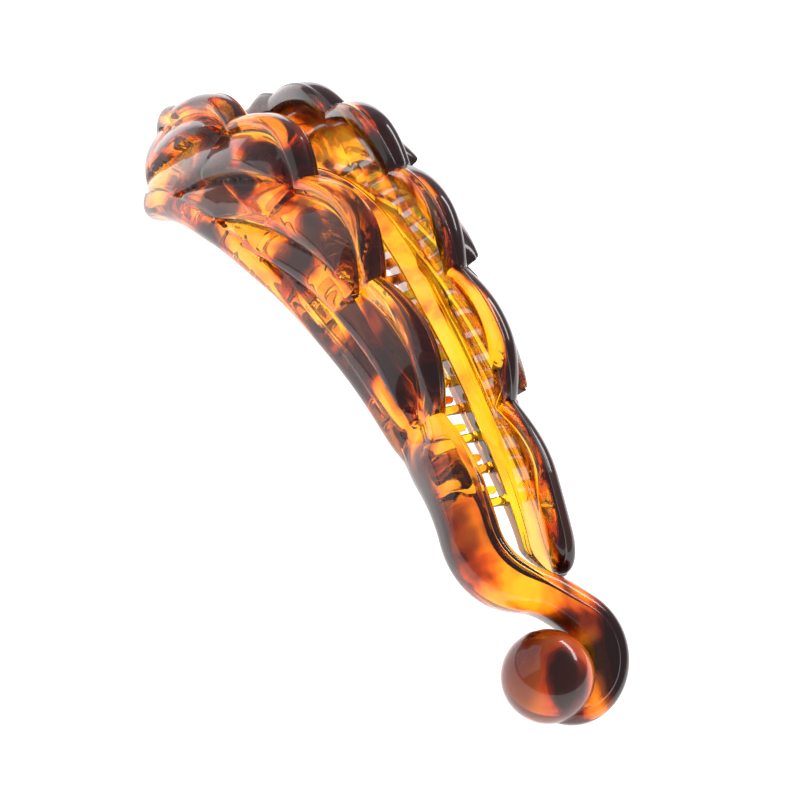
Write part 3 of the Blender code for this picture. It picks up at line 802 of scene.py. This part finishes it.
def tortoiseshell(name, shift):
    """Clear amber plastic with brown clouds drawn out along its flow, polished by the mould."""
    material = bpy.data.materials.new(name)
    material.use_nodes = True
    tree = material.node_tree
    shader = tree.nodes["Principled BSDF"]
    flow_node = tree.nodes.new("ShaderNodeAttribute")
    flow_node.attribute_name = "flow"
    flow = flow_node.outputs["Vector"]
    shade = cloud_shade(tree, flow, shift)

    ramp = tree.nodes.new("ShaderNodeValToRGB")
    ramp.color_ramp.interpolation = "EASE"
    stops = ramp.color_ramp.elements
    while len(stops) < len(AMBER_STOPS):
        stops.new(0.5)
    for stop, row in zip(stops, AMBER_STOPS):
        stop.position = row["at"]
        stop.color = (*row["colour"], 1.0)
    tree.links.new(shade, ramp.inputs["Fac"])
    tree.links.new(ramp.outputs["Color"], shader.inputs["Base Color"])
    clear = range_of(tree, shade, CLEAR_SHADES, CLEARNESS, "SMOOTHSTEP")
    tree.links.new(clear, shader.inputs["Transmission Weight"])
    shader.inputs["IOR"].default_value = PLASTIC_IOR
    shader.inputs["Coat Weight"].default_value = COAT_WEIGHT
    shader.inputs["Coat Roughness"].default_value = COAT_ROUGHNESS

    depth_tint = tree.nodes.new("ShaderNodeVolumeAbsorption")
    depth_tint.inputs["Color"].default_value = DEPTH_TINT
    depth_tint.inputs["Density"].default_value = DEPTH_TINT_DENSITY
    tree.links.new(depth_tint.outputs["Volume"], tree.nodes["Material Output"].inputs["Volume"])

    waves = noise(tree, flow, WAVE_SCALE, 1.0)
    bump = tree.nodes.new("ShaderNodeBump")
    bump.inputs["Strength"].default_value = WAVE_STRENGTH
    bump.inputs["Distance"].default_value = WAVE_DEPTH
    tree.links.new(waves.outputs["Fac"], bump.inputs["Height"])
    tree.links.new(bump.outputs["Normal"], shader.inputs["Normal"])
    wear = range_of(tree, waves.outputs["Fac"], (0.0, 1.0), POLISH)
    tree.links.new(wear, shader.inputs["Roughness"])
    return material


# Clouds seen in the photo. Each row gives the middle of one, its half sizes and how much darker it makes
# the plastic there; below 0 it makes it clearer. Places on the plastic are measured by the two main arcs.
CLEAR_LEVEL = -0.345
CLOUD_EDGE_POWER = 1.5
MAIN_ARC_S = -40.0
TAIL_ARC_S = 1.0
# Where the outer side of a rim is darkened: partly the plastic's own darker tone, partly painted shade.
OUTER_TONE_AND_SHADE_FROM = -0.9
OUTER_TONE_AND_SHADE_SPAN = 1.2
RIM_TONE_AND_SHADE_DEPTH = 4.8
RIM_TONE_AND_SHADE_SPAN = 1.8
HOOK_ARM_CLOUDS = (
    {"s": -97.0, "y": -4.0, "n": -8.0, "along": 7.0, "across": 9.0, "tall": 12.0, "dark": 0.20},
    {"s": -86.0, "y": -8.0, "n": -4.0, "along": 7.0, "across": 20.0, "tall": 6.0, "dark": 0.10},
    {"s": -68.0, "y": -8.0, "n": -3.2, "along": 5.0, "across": 20.0, "tall": 3.2, "dark": 0.30},
    {"s": -65.0, "y": -8.0, "n": -11.0, "along": 4.0, "across": 20.0, "tall": 5.0, "dark": 0.32},
    {"s": -60.0, "y": -8.0, "n": -7.6, "along": 6.0, "across": 20.0, "tall": 1.8, "dark": 0.30},
    {"s": -53.0, "y": -8.0, "n": -5.0, "along": 6.0, "across": 20.0, "tall": 2.0, "dark": 0.32},
    {"s": -46.0, "y": -8.0, "n": -1.5, "along": 5.0, "across": 20.0, "tall": 2.4, "dark": 0.30},
    {"s": -45.0, "y": -8.0, "n": 2.6, "along": 3.0, "across": 20.0, "tall": 2.4, "dark": 0.35},
    {"s": -52.0, "y": -8.0, "n": -9.6, "along": 7.0, "across": 20.0, "tall": 2.0, "dark": -0.25},
    {"s": -58.0, "y": -8.0, "n": -13.6, "along": 7.0, "across": 20.0, "tall": 1.8, "dark": 0.30},
    {"s": -37.0, "y": -8.0, "n": -2.0, "along": 9.0, "across": 20.0, "tall": 3.4, "dark": -0.34},
    {"s": -35.0, "y": -8.0, "n": -5.6, "along": 7.0, "across": 20.0, "tall": 1.2, "dark": 0.32},
    {"s": -26.5, "y": -8.0, "n": -2.4, "along": 4.5, "across": 20.0, "tall": 1.4, "dark": 0.30},
    {"s": -33.0, "y": -8.0, "n": -8.6, "along": 5.0, "across": 20.0, "tall": 2.4, "dark": 0.34},
    {"s": -24.0, "y": -5.0, "n": 2.6, "along": 4.0, "across": 2.0, "tall": 2.0, "dark": 0.28},
    {"s": -32.0, "y": -7.6, "n": 1.8, "along": 8.0, "across": 2.4, "tall": 2.4, "dark": -0.40},
    {"s": -22.5, "y": -8.0, "n": -6.2, "along": 4.0, "across": 20.0, "tall": 2.4, "dark": -0.28},
    {"s": -34.0, "y": -8.0, "n": -15.4, "along": 9.0, "across": 20.0, "tall": 1.8, "dark": -0.28},
    {"s": -17.0, "y": -8.0, "n": -11.0, "along": 8.0, "across": 20.0, "tall": 3.0, "dark": 0.32},
    {"s": -7.0, "y": -8.0, "n": -1.6, "along": 6.5, "across": 20.0, "tall": 2.6, "dark": 0.22},
    {"s": -14.0, "y": -8.0, "n": -5.8, "along": 6.0, "across": 20.0, "tall": 1.4, "dark": 0.26},
    {"s": -15.0, "y": -8.0, "n": 1.6, "along": 5.0, "across": 20.0, "tall": 2.0, "dark": -0.30},
    {"s": -8.0, "y": -7.2, "n": 0.8, "along": 8.0, "across": 1.8, "tall": 1.6, "dark": -0.34},
    {"s": -29.0, "y": -9.0, "n": -1.0, "along": 6.0, "across": 20.0, "tall": 3.0, "dark": -0.30},
    {"s": -9.0, "y": -8.5, "n": -2.0, "along": 5.0, "across": 2.4, "tall": 2.6, "dark": 0.20},
    {"s": -5.5, "y": -6.0, "n": 3.4, "along": 5.0, "across": 20.0, "tall": 2.0, "dark": 0.36},
    {"s": -1.0, "y": -8.0, "n": -7.6, "along": 4.5, "across": 20.0, "tall": 2.0, "dark": -0.30},
    {"s": 9.0, "y": -10.0, "n": -1.5, "along": 8.0, "across": 3.0, "tall": 5.0, "dark": 0.45},
    {"s": 8.0, "y": -5.5, "n": 3.6, "along": 9.0, "across": 2.4, "tall": 3.0, "dark": 0.07},
    {"s": 17.0, "y": -10.0, "n": 0.0, "along": 4.0, "across": 3.2, "tall": 6.0, "dark": 0.40},
    {"s": 21.0, "y": -7.0, "n": 2.0, "along": 2.6, "across": 3.6, "tall": 7.0, "dark": 0.30},
    {"s": 12.0, "y": -5.0, "n": 1.0, "along": 8.0, "across": 2.8, "tall": 9.0, "dark": -0.02},
    {"s": 25.5, "y": -3.0, "n": 1.0, "along": 2.6, "across": 3.0, "tall": 7.0, "dark": -0.20},
    {"s": 24.0, "y": 4.0, "n": 2.0, "along": 5.0, "across": 2.0, "tall": 3.0, "dark": 0.22},
    {"s": 29.5, "y": 3.5, "n": 1.0, "along": 2.6, "across": 4.0, "tall": 7.0, "dark": 0.26},
    {"s": 35.0, "y": 8.8, "n": 2.0, "along": 8.0, "across": 2.6, "tall": 6.0, "dark": 0.40},
    {"s": 34.5, "y": 6.2, "n": 4.0, "along": 4.0, "across": 0.9, "tall": 3.0, "dark": -0.2},
    {"s": 36.0, "y": -1.0, "n": -1.0, "along": 8.0, "across": 6.0, "tall": 6.0, "dark": -0.05},
    {"s": 36.8, "y": 0.2, "n": 8.4, "along": 3.8, "across": 3.4, "tall": 3.6, "dark": 0.34},
    {"s": 40.5, "y": 5.0, "n": 2.0, "along": 3.4, "across": 4.0, "tall": 6.0, "dark": 0.30},
)


def measure_along(points, at_s, radius):
    """Places s and heights n of an array of points, by the arc of the arch that has its middle at s."""
    on_arc, _, out = arch_frame(at_s)
    centre = on_arc - out * radius
    across, up = points[:, 0] - centre.x, points[:, 2] - centre.z
    return (np.arctan2(across, up) - LAST_NOTCH_ANGLE) * radius, np.hypot(across, up) - radius


def mark_clouds(obj, side, clouds, outer_tone_and_shade=0.0):
    """Write two values to each point of a piece: where it lies along the flow of the plastic, and how
    dark the swirls are there. The flow runs along the arch, and the outer side of the rim may be made
    darker, partly for the plastic's own darker tone and partly as painted shade."""
    points = np.array([vert.co for vert in obj.data.vertices]) / MM
    s, n = measure_along(points, MAIN_ARC_S, ARCH_RADIUS)
    tail_s, tail_n = measure_along(points, TAIL_ARC_S, TAIL_RADIUS)
    n = np.where(s < 0.0, n, tail_n)
    s = np.where(s < 0.0, s, tail_s)
    y = points[:, 1]
    shade = np.full(len(points), CLEAR_LEVEL)
    for row in clouds:
        far = ((s - row["s"]) / row["along"]) ** 2 + ((y - row["y"]) / row["across"]) ** 2
        far += ((n - row["n"]) / row["tall"]) ** 2
        shade += row["dark"] * np.exp(-far ** CLOUD_EDGE_POWER)
    # Painted shade: the outer side of the rim is darkened here, partly for the plastic's own darker tone and
    # partly as shade.
    outer = np.clip((side * y - half_gap(s) - OUTER_TONE_AND_SHADE_FROM) / OUTER_TONE_AND_SHADE_SPAN, 0.0, 1.0)
    below_rim = np.array([rim_top(at) for at in s]) - n
    shade += outer_tone_and_shade * outer * np.clip((RIM_TONE_AND_SHADE_DEPTH - below_rim) / RIM_TONE_AND_SHADE_SPAN, 0.0, 1.0)
    flow = obj.data.attributes.new("flow", "FLOAT_VECTOR", "POINT")
    flow.data.foreach_set("vector", (np.stack([s, y, n], axis=1) * MM).ravel())
    mark = obj.data.attributes.new("shade", "FLOAT", "POINT")
    mark.data.foreach_set("value", shade)


hook_arm = as_object("hook_arm_moulding", skin(hook_arm_rings()))
join(hook_arm, barrel(*HOOK_KNUCKLE_LEVELS, KNUCKLE_RADIUS), "UNION")
join(hook_arm, barrel(*HOOK_ROOM_LEVELS, ROOM_RADIUS), "DIFFERENCE")
join(hook_arm, ejector_marks(-1), "UNION")
join(hook_arm, teeth(-1), "UNION")
join(hook_arm, ball(), "UNION")
join(hook_arm, barrel(*CUT_LEVELS, PIN_HOLE_RADIUS), "DIFFERENCE")
finish_surface(hook_arm)
mark_clouds(hook_arm, -1, HOOK_ARM_CLOUDS)
hook_arm.data.materials.clear()
hook_arm.data.materials.append(tortoiseshell("hook_arm_tortoiseshell", (0.0, 0.0, 0.0)))
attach(hook_arm, "hook_side")
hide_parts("hook_arm")

# Catch arm. The other moulding in the same plastic, a mirror of the first as far as the last lobe. The
# outer side of its rim is darker, partly in the plastic's own tone and partly as painted shade, and its
# rounded tip is drawn back on a slant, so that it lies behind the hook's crossing when the clip is shut.

CATCH_TIP_S = 23.4
CATCH_TIP_ROUND = 4.5
CATCH_TIP_STEPS = 14
CATCH_TIP_LEAST = 0.02
CATCH_KNUCKLE_LEVELS = (-9.85, -6.55)
# Painted shade: how much darker the outer side of the catch arm's rim is made, partly the plastic's own tone
# and partly shade.
CATCH_OUTER_TONE_AND_SHADE = 0.62
CATCH_ARM_CLOUDS = (
    {"s": -72.0, "y": 8.0, "n": -1.0, "along": 9.0, "across": 20.0, "tall": 3.0, "dark": 0.22},
    {"s": -58.0, "y": 8.0, "n": -1.5, "along": 6.0, "across": 3.0, "tall": 2.4, "dark": 0.20},
    {"s": -48.0, "y": 8.0, "n": -9.0, "along": 14.0, "across": 20.0, "tall": 5.0, "dark": -0.22},
    {"s": -45.0, "y": 7.0, "n": 1.5, "along": 4.0, "across": 20.0, "tall": 2.6, "dark": 0.18},
    {"s": -25.0, "y": 8.0, "n": -8.0, "along": 16.0, "across": 20.0, "tall": 4.5, "dark": -0.25},
    {"s": -8.0, "y": 7.0, "n": -0.5, "along": 6.0, "across": 20.0, "tall": 2.0, "dark": 0.06},
    {"s": -3.0, "y": 8.0, "n": -7.0, "along": 12.0, "across": 20.0, "tall": 4.0, "dark": -0.24},
    {"s": 13.0, "y": 6.0, "n": -3.0, "along": 9.0, "across": 20.0, "tall": 3.0, "dark": -0.24},
    {"s": 19.0, "y": 5.0, "n": 1.5, "along": 2.0, "across": 2.0, "tall": 2.0, "dark": 0.20},
)


def catch_arm_rings():
    """All rings of the catch arm, from the hinge end to its rounded tip."""
    start = CATCH_TIP_S - CATCH_TIP_ROUND
    rings = [arm_ring(s, 1) for s in arm_stations(start)]
    for step in range(1, CATCH_TIP_STEPS + 1):
        part = math.sin(math.pi / 2 * step / CATCH_TIP_STEPS)
        scale = math.sqrt(max(1.0 - part ** 2, CATCH_TIP_LEAST))
        rings.append(arm_ring(start + CATCH_TIP_ROUND * part, 1, scale, part / math.tan(BEND_TURN)))
    return rings


catch_arm = as_object("catch_arm_moulding", skin(catch_arm_rings()))
join(catch_arm, barrel(*HOOK_ROOM_LEVELS, KNUCKLE_RADIUS), "UNION")
join(catch_arm, barrel(CUT_LEVELS[0], CATCH_KNUCKLE_LEVELS[0], ROOM_RADIUS), "DIFFERENCE")
join(catch_arm, barrel(CATCH_KNUCKLE_LEVELS[1], CUT_LEVELS[1], ROOM_RADIUS), "DIFFERENCE")
join(catch_arm, ejector_marks(1), "UNION")
join(catch_arm, teeth(1), "UNION")
join(catch_arm, barrel(*CUT_LEVELS, PIN_HOLE_RADIUS), "DIFFERENCE")
finish_surface(catch_arm)
mark_clouds(catch_arm, 1, CATCH_ARM_CLOUDS, CATCH_OUTER_TONE_AND_SHADE)
catch_arm.data.materials.clear()
catch_arm.data.materials.append(tortoiseshell("catch_arm_tortoiseshell", (0.05, 0.02, 0.03)))
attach(catch_arm, "catch_side")
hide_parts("catch_arm")

# Hinge pin. One plain moulded peg in the same plastic, with lightly rounded ends. It goes through the
# three knuckles, and stays with the hook arm when the clip opens.

PIN_RADIUS = 1.0
PIN_EDGE = 0.25
PIN_SIDES = 32
PIN_ENDS = (-13.1, -3.3)

hinge_pin = barrel(*PIN_ENDS, PIN_RADIUS, PIN_EDGE, PIN_SIDES)
hinge_pin.name = "hinge_pin_peg"
finish_surface(hinge_pin)
mark_clouds(hinge_pin, 1, ())
hinge_pin.data.materials.append(tortoiseshell("pin_tortoiseshell", (0.02, 0.06, 0.01)))
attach(hinge_pin, "hook_side")
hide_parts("hinge_pin")

# Studio. A white table that glows like a light box, dim air round it, and a soft box on each side. The
# table's glow shines through the clear plastic and takes the weight out of the shadows.

FLOOR_HALF = 2.0
FLOOR_GLOW = 1.0
AIR_COLOUR = (1.0, 0.78, 0.86, 1.0)
AIR_STRENGTH = 0.35

bm = bmesh.new()
bmesh.ops.create_grid(bm, x_segments=1, y_segments=1, size=FLOOR_HALF)
floor = as_object("studio_floor", bm)
floor_material = bpy.data.materials.new("studio_white")
floor_material.use_nodes = True
floor_shader = floor_material.node_tree.nodes["Principled BSDF"]
floor_shader.inputs["Base Color"].default_value = (0.8, 0.8, 0.8, 1.0)
floor_shader.inputs["Roughness"].default_value = 0.8
floor_shader.inputs["Specular IOR Level"].default_value = 0.1
floor_shader.inputs["Emission Color"].default_value = (1.0, 1.0, 1.0, 1.0)
floor_shader.inputs["Emission Strength"].default_value = FLOOR_GLOW
floor.data.materials.append(floor_material)

world = bpy.data.worlds.new("studio_air")
bpy.context.scene.world = world
world.use_nodes = True
world.node_tree.nodes["Background"].inputs["Color"].default_value = AIR_COLOUR
world.node_tree.nodes["Background"].inputs["Strength"].default_value = AIR_STRENGTH
bpy.context.scene.view_settings.view_transform = "Standard"


def soft_box(name, position, aim, size, power):
    """Wide soft lamp at a position in metres, turned to a point of the clip."""
    data = bpy.data.lights.new(name, "AREA")
    data.shape = "RECTANGLE"
    data.size, data.size_y = size
    data.energy = power
    obj = bpy.data.objects.new(name, data)
    bpy.context.scene.collection.objects.link(obj)
    obj.location = position
    obj.rotation_euler = (Vector(aim) - Vector(position)).to_track_quat("-Z", "Y").to_euler()


soft_box("key_softbox", position=(-0.35, -0.55, 0.45), aim=(0.0, 0.0, 0.02), size=(1.1, 0.9), power=2.2)
soft_box("back_softbox", position=(-0.15, 0.55, 0.45), aim=(0.0, 0.0, 0.03), size=(0.6, 0.1), power=1.5)

# Camera. At the photo's angle, looking down along the clip from beyond the hook. Its place is in lobe
# pitches from the last notch, and its axes are those of the rim line there.

CAMERA_FROM_LAST_NOTCH = (4.84, -8.35, 15.73)
CAMERA_VIEW = (-0.272, 0.431, -0.861)
CAMERA_UP = (-0.916, 0.159, 0.369)
CAMERA_LENS = 135.0
CAMERA_SENSOR = 36.0
CAMERA_CLIP_START = 0.01

turn = Matrix.Rotation(LAST_NOTCH_ANGLE, 3, "Y")
view = (turn @ Vector(CAMERA_VIEW)).normalized()
up = turn @ Vector(CAMERA_UP)
up = (up - view * up.dot(view)).normalized()
axes = Matrix((view.cross(up), up, -view)).transposed().to_4x4()
position = place(0.0, 0.0, 0.0) + turn @ Vector(CAMERA_FROM_LAST_NOTCH) * LOBE_PITCH * MM
camera_data = bpy.data.cameras.new("photo_camera")
camera_data.lens = CAMERA_LENS
camera_data.sensor_width = CAMERA_SENSOR
camera_data.clip_start = CAMERA_CLIP_START
camera = bpy.data.objects.new("photo_camera", camera_data)
bpy.context.scene.collection.objects.link(camera)
camera.matrix_world = Matrix.Translation(position) @ axes
bpy.context.scene.camera = camera
